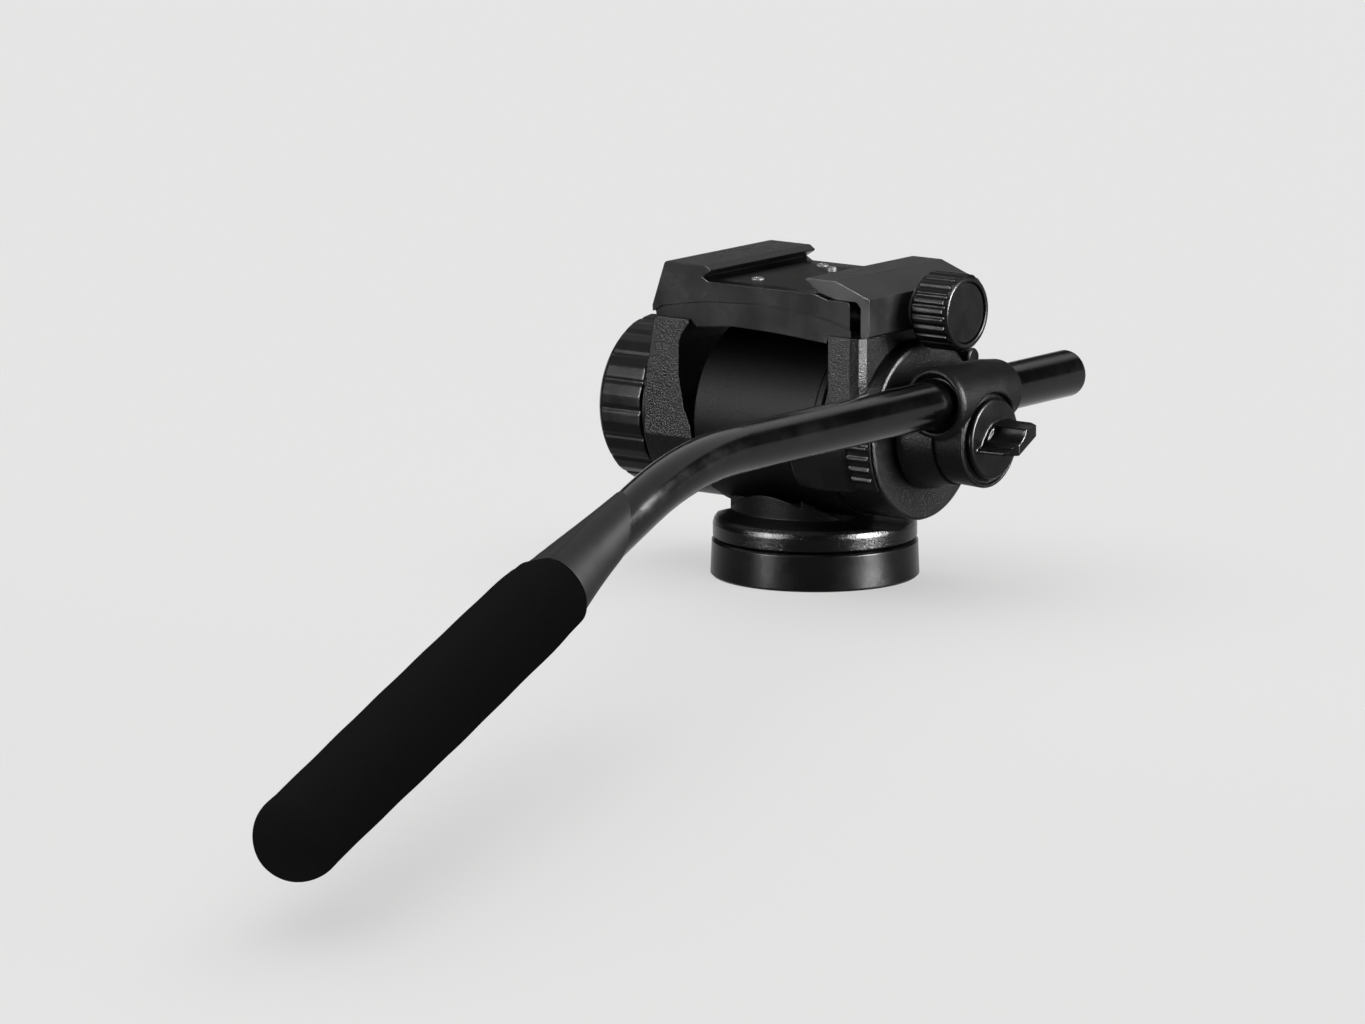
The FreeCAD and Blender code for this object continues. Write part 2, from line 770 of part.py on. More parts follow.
# Sliding jaw, its guide pins and washer
jaw_under = s.shelf_z + s.seam
jaw = slab("XZ_Plane", [
    (s.lip_x, s.jaw_top - 0.5),
    (s.lip_x + 0.5, s.jaw_top),
    (s.jaw_flat, s.jaw_top),
    (jaw_outer, s.jaw_shoulder),
    (jaw_outer, s.jaw_bottom + s.edge),
    (jaw_outer - s.edge, s.jaw_bottom),
    (jaw_inner, s.jaw_bottom),
    (jaw_inner, jaw_under - 1.5),
    (jaw_inner - 1.5, jaw_under),
    (s.lip_x + 11.1, jaw_under),
    (s.lip_x + 5.3, jaw_under + 1.5),
], jaw_half * 2)
put(jaw, 0, s.jaw_shift, 0)
jaw_tools = [rod("X", s.jaw_screw_r + s.run, jaw_inner - 2, jaw_outer + 1, z=s.jaw_screw_z)]
for y in (-jaw_pin_y, jaw_pin_y):
    jaw_tools.append(
        rod("X", s.jaw_pin_r + s.fit, jaw_inner - 1, jaw_outer - 1, y=y, z=s.jaw_pin_z)
    )
name(cut(jaw, *jaw_tools), "clamp_jaw")
for n, y in enumerate((-jaw_pin_y, jaw_pin_y), 1):
    name(
        rod("X", s.jaw_pin_r, s.body_right - 7, jaw_outer - 1, y=y, z=s.jaw_pin_z),
        "jaw_pin_%d" % n,
    )
name(turned("X", [
    (s.jaw_screw_r + s.run, jaw_outer),
    (s.jaw_screw_r + 4, jaw_outer),
    (s.jaw_screw_r + 4, jaw_outer + s.jaw_knob_gap - s.seam),
    (s.jaw_screw_r + s.run, jaw_outer + s.jaw_knob_gap - s.seam),
], 0, 0, s.jaw_screw_z), "jaw_washer")

# Jaw knob with its screw and face cap
jaw_knob_x = jaw_outer + s.jaw_knob_gap
name(flutes(turned("X", [
    (s.jaw_screw_r + s.fit, 0),
    (s.jaw_knob_r - 1.2, 0),
    (s.jaw_knob_r, 1.2),
    (s.jaw_knob_r, s.jaw_knob_len - 1.2),
    (s.jaw_knob_r - 1.2, s.jaw_knob_len),
    (s.jaw_face_r + s.fit, s.jaw_knob_len),
    (s.jaw_face_r + s.fit, s.jaw_knob_len - 1.6),
    (s.jaw_screw_r + s.fit, s.jaw_knob_len - 1.6),
], jaw_knob_x, 0, s.jaw_screw_z), s.jaw_flute_r, s.jaw_knob_r + 0.25, 24), "jaw_knob")
name(rod("X", s.jaw_screw_r, s.body_right - 6, jaw_knob_x + s.jaw_knob_len - 1.7,
         z=s.jaw_screw_z), "jaw_screw")
name(turned("X", [
    (0, s.jaw_knob_len - 1.6),
    (s.jaw_face_r, s.jaw_knob_len - 1.6),
    (s.jaw_face_r, s.jaw_knob_len - 0.9),
    (s.jaw_face_r - 0.3, s.jaw_knob_len - 0.6),
    (0, s.jaw_knob_len - 0.6),
], jaw_knob_x, 0, s.jaw_screw_z), "jaw_knob_cap")

# Drag knob on the left end of the axle: eighteen flats with grooves between
knob_end = -s.left_outer - s.knob_gap - s.knob_flange
knob_start = knob_end - s.knob_len
knob_sides = 18
flats = doc.addObject("Part::Prism", "Flats")
flats.Polygon = knob_sides
bind(flats, "Circumradius", s.knob_r)
bind(flats, "Height", s.knob_len)
put(flats, knob_start, 0, s.tilt_z, TURNS["X"])
grooves = []
for n in range(knob_sides):
    angle = 2 * math.pi * n / knob_sides
    grooves.append(rod(
        "X", s.knob_flute_r, knob_start - 1, knob_end + 1,
        y=s.knob_r * math.cos(angle), z=s.tilt_z + s.knob_r * math.sin(angle),
    ))
envelope = turned("X", [
    (s.knob_stem_r + s.run, s.knob_recess),
    (s.knob_recess_r, s.knob_recess),
    (s.knob_recess_r, 0),
    (s.knob_r - 2, 0),
    (s.knob_r, 2),
    (s.knob_r, s.knob_len),
    (s.knob_stem_r + s.run, s.knob_len),
], knob_start, 0, s.tilt_z)
name(cut(both(flats, envelope), *grooves), "drag_knob")
name(turned("X", [
    (s.knob_stem_r + s.run, 0),
    (s.knob_r - 1.2, 0),
    (s.knob_r - 0.7, 0.5),
    (s.knob_r - 0.7, s.knob_flange),
    (s.knob_stem_r + s.run, s.knob_flange),
], knob_end, 0, s.tilt_z), "drag_knob_flange")
name(turned("X", [
    (0, 0),
    (s.knob_recess_r - s.fit - 0.5, 0),
    (s.knob_recess_r - s.fit, 0.5),
    (s.knob_recess_r - s.fit, s.knob_recess),
    (0, s.knob_recess),
], knob_start, 0, s.tilt_z), "drag_knob_cap")

# Tilt lock: ring about the right arm's boss with a thumb lobe in front
ring_start = s.drum_right + s.lever_gap
ring_end = s.right_inner - s.lever_gap
lobe_in = side_r + 0.4
name(turned("X", [
    (s.boss_r + s.run, ring_start),
    (lobe_in - s.fit, ring_start),
    (lobe_in - s.fit, ring_end),
    (s.boss_r + s.run, ring_end),
], 0, 0, s.tilt_z), "lock_ring")
lobe = turned("X", [
    (drum_r + s.lever_gap, s.lever_left),
    (lever_r - 1.2, s.lever_left),
    (lever_r - 0.8, s.lever_left + 0.6),
    (lever_r, s.lever_crease),
    (lever_r - 0.7, s.lever_wing - 0.6),
    (wing_r - s.rib_r, s.lever_wing),
    (wing_r - s.rib_r, s.lever_right - 0.4),
    (wing_r - s.rib_r - 0.4, s.lever_right),
    (lobe_in, s.lever_right),
    (lobe_in, ring_start),
    (drum_r + s.lever_gap, ring_start),
], 0, 0, s.tilt_z)
far = lever_r * 2
wedge = slab("YZ_Plane", [
    (0, s.tilt_z),
    (-far * cosine(s.lever_up_angle), s.tilt_z + far * sine(s.lever_up_angle)),
    (-far * cosine(s.lever_down_angle), s.tilt_z - far * sine(s.lever_down_angle)),
], s.lever_right * 4)
ribs = [both(lobe, wedge)]
for n in range(4):
    angle = -s.rib_first_angle - s.rib_step_angle * n
    rib = doc.addObject("Part::Cylinder", "Rib")
    bind(rib, "Radius", s.rib_r)
    bind(rib, "Height", s.lever_right - s.lever_wing - 0.8)
    ring = wing_r - s.rib_r - 0.05
    put(rib, s.lever_wing + 0.2, -ring * cosine(angle), s.tilt_z + ring * sine(angle), TURNS["X"])
    ribs.append(rib)
name(fuse(*ribs), "lock_lever")

# Handle clamp: hub on the stud, casting with a barrel for the tube, and a wing knob
hub_x = side_end + s.washer_thick + s.seam
barrel = turned("Y", [
    (0, -s.barrel_front),
    (s.barrel_r - s.barrel_round * 0.7, -s.barrel_front),
    (s.barrel_r, s.barrel_round - s.barrel_front),
    (s.barrel_back_r, s.barrel_back - s.barrel_round),
    (s.barrel_back_r - s.barrel_round * 0.3, s.barrel_back - s.barrel_round * 0.3),
    (s.barrel_back_r - s.barrel_round, s.barrel_back),
    (0, s.barrel_back),
], s.bar_x, 0, s.bar_z)
hub = turned("X", [
    (s.stud_r + s.run, hub_x),
    (s.hub_r - 0.3, hub_x),
    (s.hub_r, hub_x + 0.5),
    (s.hub_end_r, s.clamp_x - 0.1),
    (s.stud_r + s.run, s.clamp_x - 0.1),
], 0, 0, s.tilt_z)
name(cut(
    hub,
    rod("Y", s.barrel_r + s.fit, -s.barrel_front - 2, s.barrel_back + 2, s.bar_x, 0, s.bar_z),
), "bar_hub")
clamp_end = s.clamp_x + s.clamp_len
drum_body = turned("X", [
    (0, s.clamp_x),
    (s.clamp_r - 0.8, s.clamp_x),
    (s.clamp_r - 0.4, s.clamp_x + 0.5),
    (s.clamp_r, clamp_end - 0.3),
    (s.clamp_r - 0.3, clamp_end),
    (0, clamp_end),
], 0, 0, s.tilt_z)
seat_x = clamp_end - s.seat_depth
groove = turned("X", [
    (s.wing_disc_r + 0.1, seat_x - s.seat_groove),
    (s.seat_r, seat_x - s.seat_groove),
    (s.seat_r, seat_x + 1),
    (s.wing_disc_r + 0.1, seat_x + 1),
], 0, 0, s.tilt_z)
barrel_ends = []
for mouth, start, end in (
    (s.mouth_r, -s.barrel_front - 1, s.barrel_lip - s.barrel_front),
    (s.bush_r + 0.3, s.barrel_back - s.barrel_lip, s.barrel_back + 1),
):
    barrel_ends.append(rod("Y", mouth, start, end, s.bar_x, 0, s.bar_z))
name(cut(
    fuse(drum_body, barrel),
    rod("Y", s.bush_r + s.run, -s.barrel_front - 1, s.barrel_back + 1, s.bar_x, 0, s.bar_z),
    rod("X", s.seat_r, seat_x, clamp_end + 6, z=s.tilt_z),
    groove,
    rod("X", s.wing_screw_r + s.run, s.clamp_x - 8, clamp_end + 1, z=s.tilt_z),
    rod("X", s.stud_r + 0.3, s.right_outer, s.stud_end + 0.4, z=s.tilt_z),
    *barrel_ends,
), "bar_clamp")

bush_front = s.barrel_lip - s.barrel_front + s.fit
bush_back = s.barrel_back - s.barrel_lip - s.fit
name(turned("Y", [
    (s.tube_r + s.run, bush_front),
    (s.bush_r - 0.3, bush_front),
    (s.bush_r, bush_front + 0.3),
    (s.bush_r, bush_back - 0.3),
    (s.bush_r - 0.3, bush_back),
    (s.tube_r + s.run, bush_back),
], s.bar_x, 0, s.bar_z), "bar_bush")

wing_x = seat_x + s.wing_gap
wing_disc = turned("X", [
    (0, 0),
    (s.wing_disc_r, 0),
    (s.wing_disc_r, s.wing_disc - 0.5),
    (s.wing_disc_r - 0.5, s.wing_disc),
    (0, s.wing_disc),
], wing_x, 0, s.tilt_z)
fin_end = s.wing_disc + s.wing_len
fin_face = slab("YZ_Plane", [
    (-s.wing_half, -2.9),
    (-s.wing_half * 0.56, -2.9),
    (s.wing_half * 0.35, 1.5),
    (s.wing_half, 2.2),
    (s.wing_half, 4.2),
    (s.wing_half * 0.6, 5.0),
    (s.wing_half * 0.18, 5.0),
    (-s.wing_half * 0.16, 4.4),
    (-s.wing_half * 0.4, 3.0),
    (-s.wing_half * 0.6, 0.8),
    (-s.wing_half * 0.75, -1.2),
    (-s.wing_half, -2.0),
], fin_end * 2)
fin_plan = slab("XY_Plane", [
    (s.wing_disc - 0.5, -s.wing_half),
    (fin_end - 3, -s.wing_half * 0.94),
    (fin_end, -s.wing_half * 0.56),
    (fin_end, s.wing_half * 0.36),
    (fin_end - 5.5, s.wing_half * 0.82),
    (s.wing_disc - 0.5, s.wing_half),
], s.wing_half * 4)
scoop = rod(
    "X", s.wing_half * 0.58, s.wing_disc + 1.2, fin_end + 1,
    y=-s.wing_half * 0.78, z=s.wing_half * 0.58,
)
fin = put(cut(both(fin_face, fin_plan), scoop), wing_x, 0, s.tilt_z)
name(cut(
    fuse(wing_disc, fin),
    rod("X", s.wing_screw_r + s.fit, wing_x - 1, wing_x + s.wing_disc + 1, z=s.tilt_z),
), "wing_knob")
name(rod("X", s.wing_screw_r, s.clamp_x - 2, wing_x + s.wing_disc + 0.9, z=s.tilt_z), "wing_screw")

# Handle: bent tube, end plug, sleeve, core and foam grip
reach = s.bend_r * sine(s.bend_angle / 2) / cosine(s.bend_angle / 2)
bend_start = reach - s.bend_y
bend_z = s.bar_z - s.bend_r
slope = Rotation(Vector(1, 0, 0), 90 + s.bend_angle.value)
grip_end = s.grip_at + s.grip_len


def on_slope(obj, distance, turn=Rotation()):
    """Places a piece on the sloping part of the tube, measured from the bend's corner."""
    distance = as_size(distance)
    y = -s.bend_y - distance * cosine(s.bend_angle)
    z = s.bar_z - distance * sine(s.bend_angle)
    return put(obj, s.bar_x, y, z, slope * turn)


def sloping_rod(r, start, end):
    """A cylinder along the sloping part of the tube."""
    obj = doc.addObject("Part::Cylinder", "Rod")
    bind(obj, "Radius", r)
    bind(obj, "Height", end - start)
    return on_slope(obj, start)


def bent_rod(r, back, tail):
    """A bent rod of one radius, from the back end to a distance past the bend's corner."""
    first = rod("Y", r, bend_start, as_size(back), s.bar_x, 0, s.bar_z)
    bend = doc.addObject("Part::Torus", "Bend")
    bind(bend, "Radius1", s.bend_r)
    bind(bend, "Radius2", r)
    bind(bend, "Angle3", s.bend_angle)
    turn = Rotation(Vector(0, 0, 1), Vector(0, -1, 0), Vector(1, 0, 0), "XYZ")
    put(bend, s.bar_x, bend_start, bend_z, turn)
    return fuse(first, bend, sloping_rod(r, reach, tail))


tube_in = s.tube_r - s.tube_wall
tube_tail = grip_end - s.grip_r - 6
name(cut(
    bent_rod(s.tube_r, s.tube_back, tube_tail),
    bent_rod(tube_in, s.tube_back + 1, tube_tail + 1),
), "bar_tube")
name(turned("Y", [
    (0, -8),
    (tube_in - s.fit, -8),
    (tube_in - s.fit, 0),
    (s.tube_r - 0.2, 0),
    (s.tube_r - 0.2, 0.6),
    (s.tube_r - 0.8, 1.2),
    (0, 1.2),
], s.bar_x, s.tube_back, s.bar_z), "tube_plug")

# The sleeve runs straight from a round foot at the grip to a slanted rim on the tube,
# and a flat narrows along its upper side to the tip of the rim
slant = math.degrees(math.atan2(s.sleeve_slant.value, s.sleeve_rim_r.value))
spin = Rotation(Vector(0, 0, 1), 90 + s.sleeve_turn.value)
flat_spin = Rotation(Vector(0, 0, 1), 90 + s.sleeve_flat_turn.value)
foot_ring = doc.addObject("Part::Circle", "SleeveFoot")
bind(foot_ring, "Radius", s.sleeve_end_r)
on_slope(foot_ring, s.grip_at, spin)
rim_ring = doc.addObject("Part::Ellipse", "SleeveRim")
rim_long = Size(
    math.hypot(s.sleeve_slant.value, s.sleeve_rim_r.value),
    "sqrt(%s ^ 2 + %s ^ 2)" % (s.sleeve_slant.text, s.sleeve_rim_r.text),
)
bind(rim_ring, "MajorRadius", rim_long)
bind(rim_ring, "MinorRadius", s.sleeve_rim_r)
on_slope(rim_ring, s.grip_at - s.sleeve_len, spin * Rotation(Vector(0, 1, 0), slant))
sleeve = doc.addObject("Part::Loft", "Sleeve")
sleeve.Sections = [foot_ring, rim_ring]
sleeve.Solid = True
sleeve.Ruled = True
flat_cut = on_slope(slab("XZ_Plane", [
    (s.sleeve_flat, 0),
    (s.sleeve_flat_tip, -s.sleeve_len - s.sleeve_slant),
    (s.sleeve_end_r * 2, -s.sleeve_len - s.sleeve_slant),
    (s.sleeve_end_r * 2, 1),
    (s.sleeve_flat, 1),
], s.sleeve_end_r * 3), s.grip_at, flat_spin)
sleeve_bore = sloping_rod(
    s.tube_r + s.fit, s.grip_at - s.sleeve_len - s.sleeve_slant - 1, s.grip_at + 1,
)
name(cut(sleeve, sleeve_bore, flat_cut), "grip_sleeve")

core_end = grip_end - s.grip_r - 4
name(on_slope(turned("Z", [
    (s.tube_r + s.fit, 0),
    (s.core_r, 0),
    (s.core_r, core_end - s.grip_at - 0.4),
    (s.tube_r + s.fit, core_end - s.grip_at - 0.4),
]), s.grip_at + 0.4), "grip_core")
foam_start = s.grip_at + 0.6
foam = on_slope(turned("Z", [
    (0, 0),
    (s.grip_edge_r - 0.8, 0),
    (s.grip_edge_r, 0.6),
    (s.grip_r - 0.2, 3),
    (s.grip_r, 5),
    (s.grip_r, s.grip_len - s.grip_r - 0.6),
    (0, s.grip_len - s.grip_r - 0.6),
]), foam_start)
ball = doc.addObject("Part::Sphere", "Ball")
bind(ball, "Radius", s.grip_r)
on_slope(ball, grip_end - s.grip_r)
bore = sloping_rod(s.core_r + s.fit, foam_start - 1, core_end + 2)
name(cut(fuse(foam, ball), bore), "foam_grip")

doc.recompute()
problems = []
for obj in doc.Objects:
    if "Invalid" in obj.State or "Error" in obj.State:
        problems.append("%s (%s): %s" % (obj.Name, obj.Label, obj.State))
for part in parts:
    if part.Shape.isNull() or not part.Shape.isValid() or part.Shape.Volume <= 0:
        problems.append("%s has no sound shape" % part.Label)
    if len(part.Shape.Solids) != 1:
        problems.append("%s has %d solids" % (part.Label, len(part.Shape.Solids)))
if problems:
    raise RuntimeError("\n".join(problems))
os.makedirs("parts", exist_ok=True)
for part in parts:
    part.Shape.exportStep("parts/%s.step" % part.Label)
print("%d parts written" % len(parts))
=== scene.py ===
# Small pan and tilt head with one bent handle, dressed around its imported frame.
import json
import math
import bmesh
import bpy
from mathutils import Matrix, Vector


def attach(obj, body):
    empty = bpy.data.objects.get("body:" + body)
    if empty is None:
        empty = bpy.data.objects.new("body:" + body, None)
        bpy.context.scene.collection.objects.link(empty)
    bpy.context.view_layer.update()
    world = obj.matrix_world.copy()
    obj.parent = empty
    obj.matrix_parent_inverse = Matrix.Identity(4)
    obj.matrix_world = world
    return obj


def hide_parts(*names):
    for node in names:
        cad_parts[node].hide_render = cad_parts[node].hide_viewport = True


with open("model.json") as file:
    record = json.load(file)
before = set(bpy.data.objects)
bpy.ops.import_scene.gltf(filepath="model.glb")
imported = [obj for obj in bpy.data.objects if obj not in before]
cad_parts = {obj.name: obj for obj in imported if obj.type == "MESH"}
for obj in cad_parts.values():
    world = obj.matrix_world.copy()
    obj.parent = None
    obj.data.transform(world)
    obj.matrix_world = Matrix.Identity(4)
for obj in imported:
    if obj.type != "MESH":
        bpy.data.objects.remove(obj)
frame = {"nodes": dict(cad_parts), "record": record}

bpy.ops.object.select_all(action="DESELECT")
MM = 0.001
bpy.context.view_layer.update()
nodes = frame["nodes"]

# ---------------------------------------------------------------------------
# Camera. It looks down on the operator's right-hand side of the head from
# 2.6 metres, and keeps the head right of the middle of the picture.
azimuth = math.radians(36.958)
elevation = math.radians(10.374)
distance = 2614.3 * MM
origin_right = 38.34 * MM
origin_down = 17.66 * MM
back = Vector((
    math.sin(azimuth) * math.cos(elevation),
    -math.cos(azimuth) * math.cos(elevation),
    math.sin(elevation),
))
right = Vector((math.cos(azimuth), math.sin(azimuth), 0))
up = back.cross(right)
camera = bpy.data.objects.new("camera", bpy.data.cameras.new("camera"))
bpy.context.scene.collection.objects.link(camera)
camera.matrix_world = Matrix((right, up, back)).transposed().to_4x4()
camera.location = back * distance - right * origin_right + up * origin_down
camera.data.sensor_width = 36
camera.data.lens = 238.0
camera.data.clip_start = 0.1
camera.data.clip_end = 20
bpy.context.scene.camera = camera
bpy.context.scene.view_settings.view_transform = "Standard"

# ---------------------------------------------------------------------------
# Painted castings: the pan housing, both arms, the side disc, the hub and the
# handle clamp. They have a hard black paint with a fine crinkled grain.
cloud_span = (0.3, 0.7)
grain_span = (0.35, 0.65)
bevel_samples = 6


def new_material(name, color, rough, specular=0.5, metal=0.0):
    """A material with its colour, gloss and metal set on the shader itself."""
    material = bpy.data.materials.new(name)
    material.use_nodes = True
    shader = material.node_tree.nodes["Principled BSDF"]
    shader.inputs["Base Color"].default_value = (*color, 1)
    shader.inputs["Roughness"].default_value = rough
    shader.inputs["Specular IOR Level"].default_value = specular
    shader.inputs["Metallic"].default_value = metal
    material.diffuse_color = (*color, 1)
    return material, shader


def add(material, kind, **inputs):
    """A new node with plain numbers in its named sockets."""
    node = material.node_tree.nodes.new("ShaderNode" + kind)
    for key, value in inputs.items():
        node.inputs[key].default_value = value
    return node


def link(material, source, target):
    material.node_tree.links.new(source, target)


def coordinates(material):
    """The object's own coordinates."""
    return add(material, "TexCoord").outputs["Object"]


def noise(material, scale, detail, rough):
    """A number between 0 and 1 that varies in clouds over the piece."""
    node = add(material, "TexNoise", Scale=scale, Detail=detail, Roughness=rough)
    link(material, coordinates(material), node.inputs["Vector"])
    return node.outputs["Fac"]


def ramp(material, value, given, wanted):
    """Maps one span of numbers to another."""
    node = add(material, "MapRange", **{
        "From Min": given[0], "From Max": given[1],
        "To Min": wanted[0], "To Max": wanted[1],
    })
    link(material, value, node.inputs["Value"])
    return node.outputs["Result"]


def mixed(material, value, dark, light):
    """A colour between two, by a number from 0 to 1."""
    node = material.node_tree.nodes.new("ShaderNodeMix")
    node.data_type = "RGBA"
    colors = [socket for socket in node.inputs if socket.type == "RGBA"]
    colors[0].default_value = (*dark, 1)
    colors[1].default_value = (*light, 1)
    link(material, value, node.inputs["Factor"])
    return [socket for socket in node.outputs if socket.type == "RGBA"][0]


def bumped(material, shader, height, depth, edge):
    """Fine relief over edges that are rounded by a small radius."""
    soft = material.node_tree.nodes.new("ShaderNodeBevel")
    soft.samples = bevel_samples
    soft.inputs["Radius"].default_value = edge
    node = add(material, "Bump", Distance=depth)
    link(material, height, node.inputs["Height"])
    link(material, soft.outputs["Normal"], node.inputs["Normal"])
    link(material, node.outputs["Normal"], shader.inputs["Normal"])


def shade(color, amount):
    return tuple(channel * amount for channel in color)


def crinkle(name, color, specular, gloss, depth=0.16 * MM):
    """Black paint with raised grains that catch the light."""
    material, shader = new_material(name, color, rough=0.5, specular=specular)
    grain = noise(material, scale=2300, detail=2.0, rough=0.6)
    cloud = noise(material, scale=60, detail=3.0, rough=0.5)
    raised = ramp(material, grain, grain_span, (0, 1))
    tone = mixed(material, raised, shade(color, 0.6), shade(color, 1.6))
    sheen = ramp(material, cloud, cloud_span, (gloss - 0.03, gloss + 0.03))
    link(material, tone, shader.inputs["Base Color"])
    link(material, sheen, shader.inputs["Roughness"])
    bumped(material, shader, grain, depth, edge=0.5 * MM)
    return material


coat_black = (0.003, 0.003, 0.0031)
paint = crinkle("crinkled_black_paint", coat_black, 0.06, 0.31)
# The clamp and hub get a lighter copy of the same black paint: painted light that stands in for
# the light falling on them.
clamp_paint_with_painted_light = crinkle("clamp_paint_with_painted_light", (0.0075, 0.0075, 0.0078), 0.03, 0.36)
drum_paint = crinkle("housing_paint", coat_black, 0.02, 0.40, 0.10 * MM)

# The housing's coat is glossier on the turntable, below the drum.
gloss_edge = (19.0 * MM, 20.0 * MM)
place = add(drum_paint, "SeparateXYZ")
link(drum_paint, coordinates(drum_paint), place.inputs["Vector"])
drum_shader = drum_paint.node_tree.nodes["Principled BSDF"]
for socket, turntable, drum in (
    ("Roughness", 0.20, 0.40),
    ("Specular IOR Level", 0.085, 0.02),
):
    by_height = ramp(drum_paint, place.outputs["Z"], gloss_edge, (turntable, drum))
    link(drum_paint, by_height, drum_shader.inputs[socket])

# ---------------------------------------------------------------------------
# Metal: the anodised base, plate holder and jaw, the handle's tube, the worn
# plate and caps, and the small steel pieces.


def anodised(name, color, rough, specular):
    """Even satin black with a faint cloud and a fine etched grain."""
    material, shader = new_material(name, color, rough, specular)
    cloud = noise(material, scale=90, detail=4.0, rough=0.6)
    etching = noise(material, scale=5200, detail=1.0, rough=0.5)
    sheen = ramp(material, cloud, cloud_span, (rough - 0.04, rough + 0.05))
    tone = mixed(material, cloud, shade(color, 0.85), shade(color, 1.15))
    link(material, sheen, shader.inputs["Roughness"])
    link(material, tone, shader.inputs["Base Color"])
    bumped(material, shader, etching, depth=0.012 * MM, edge=0.3 * MM)
    return material


def steel(name, color, rough):
    """Bare or blackened metal with a fine uneven polish."""
    material, shader = new_material(name, color, rough, metal=1.0)
    polish = noise(material, scale=900, detail=4.0, rough=0.7)
    sheen = ramp(material, polish, cloud_span, (rough - 0.08, rough + 0.1))
    link(material, sheen, shader.inputs["Roughness"])
    bumped(material, shader, polish, depth=0.01 * MM, edge=0.2 * MM)
    return material


satin = anodised("black_anodised", (0.002, 0.0021, 0.0023), 0.24, 0.11)
ring_satin = anodised("base_anodised", (0.002, 0.002, 0.0021), 0.24, 0.07)
# The jaw gets a lighter copy of the same black anodising: painted light that stands in for the
# light on its sides and top.
jaw_satin_with_painted_light = anodised("jaw_anodised_with_painted_light", (0.010, 0.010, 0.0105), 0.30, 0.13)
tube_black = anodised("tube_black", (0.002, 0.002, 0.0021), 0.14, 0.19)
wear = anodised("worn_floor", (0.009, 0.0085, 0.0078), 0.45, 0.05)
bright = steel("bright_steel", (0.50, 0.50, 0.50), 0.35)
dark_steel = steel("blackened_steel", (0.035, 0.035, 0.035), 0.55)

# ---------------------------------------------------------------------------
# Moulded pieces: knobs, lever, sleeve and bushes, and the foam of the grip.
# The finish of every solid is given out here, once all of them are there.


def moulded(name, color, rough, specular, depth=0.02 * MM):
    """Moulded plastic or rubber with a fine spark-eroded grain."""
    material, shader = new_material(name, color, rough, specular)
    grain = noise(material, scale=3400, detail=2.0, rough=0.55)
    cloud = noise(material, scale=120, detail=3.0, rough=0.5)
    sheen = ramp(material, cloud, cloud_span, (rough - 0.05, rough + 0.05))
    tone = mixed(material, grain, shade(color, 0.8), shade(color, 1.2))
    link(material, sheen, shader.inputs["Roughness"])
    link(material, tone, shader.inputs["Base Color"])
    bumped(material, shader, grain, depth, edge=0.35 * MM)
    return material


plastic = moulded("black_plastic", (0.003, 0.003, 0.0031), 0.29, 0.06)
satin_sleeve = moulded("sleeve_plastic", (0.030, 0.030, 0.0305), 0.46, 0.03, 0.01 * MM)
pale_nylon = moulded("nylon", (0.05, 0.05, 0.05), 0.5, 0.4)
foam = moulded("foam", (0.0105, 0.0105, 0.0110), 0.95, 0.0, 0.15 * MM)

slot_finish = {
    "black_paint": paint,
    "black_anodised": satin,
    "grey_metal": wear,
    "steel": bright,
    "black_tube": tube_black,
    "black_plastic": plastic,
    "nylon": pale_nylon,
    "foam": foam,
}
own_finish = {
    "base_plate": ring_satin,
    "pan_housing": drum_paint,
    "clamp_jaw": jaw_satin_with_painted_light,
    "bar_hub": clamp_paint_with_painted_light,
    "floor_screw_1": dark_steel,
    "floor_screw_2": dark_steel,
    "floor_screw_3": dark_steel,
    "floor_screw_4": dark_steel,
    "safety_pin": dark_steel,
}
for part in frame["record"]["subparts"]:
    mesh = nodes[part["node"]].data
    mesh.materials.clear()
    mesh.materials.append(own_finish.get(part["node"], slot_finish[part["material_slot"]]))

# ---------------------------------------------------------------------------
# Foam grip: a closed foam tube with a rounded end, slightly crowned between
# its pinched rim at the sleeve and its end, with a soft uneven skin. Lengths
# here and in the sleeve are in millimetres along the handle's slope.
bend_corner = Vector((53.0, -132.5, 57.3))
bend_angle = math.radians(24.15)
slope = Vector((0, -math.cos(bend_angle), -math.sin(bend_angle)))
across = Vector((1, 0, 0))
slope_turn = Matrix((across, slope.cross(across), slope)).transposed()
grip_segments = 96
grip_at = 65.1
grip_end = 196.3
grip_r = 12.2
dome_r = grip_r - 0.1
skin_inset = 0.12
mouth_r = 8.6
mouth_lip_r = 9.2
mouth_deep = 1.2
rim_r = 10.3
rim_round = 1.1
body_from = 4.0
pinch = 0.8
crown = 0.12
flat_side = math.radians(106)
flat_foot = 8.8
flat_rise = 0.9
flat_fade = 7.0
skin_waves = 0.05
skin_ripples = 0.03


def placed_mesh(name, shape):
    """A new object of a shape that was made along the handle's slope."""
    bmesh.ops.recalc_face_normals(shape, faces=shape.faces)
    for face in shape.faces:
        face.smooth = True
    mesh = bpy.data.meshes.new(name)
    onto_slope = Matrix.Translation(bend_corner * MM) @ slope_turn.to_4x4()
    shape.transform(onto_slope @ Matrix.Scale(MM, 4))
    shape.to_mesh(mesh)
    shape.free()
    piece = bpy.data.objects.new(name, mesh)
    bpy.context.scene.collection.objects.link(piece)
    return piece


